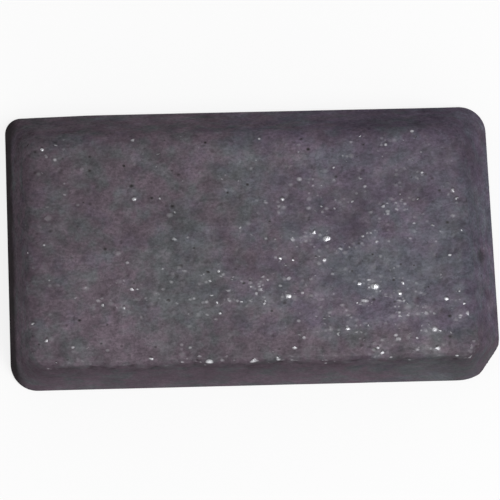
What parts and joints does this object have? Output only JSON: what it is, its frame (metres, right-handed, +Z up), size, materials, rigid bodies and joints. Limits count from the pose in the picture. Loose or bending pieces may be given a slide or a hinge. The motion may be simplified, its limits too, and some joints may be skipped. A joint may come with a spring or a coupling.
{
  "type": "metal ingot",
  "caption": "Cast metal bar with leaning walls, rounded edges, a flat mould-floor face on top and a shallow shrinkage hollow underneath; raw stock for melting, stacking or display.",
  "frame": {"origin": "on the ground, under the middle of the bar", "axes": "+X along the bar, +Y from its front to its back, +Z up to the smaller face"},
  "size_m": [0.1, 0.056, 0.0198],
  "materials": {
    "tarnished_metal": "matte"
  },
  "bodies": {
    "root": {"ingot": "tarnished_metal"}
  },
  "joints": []
}
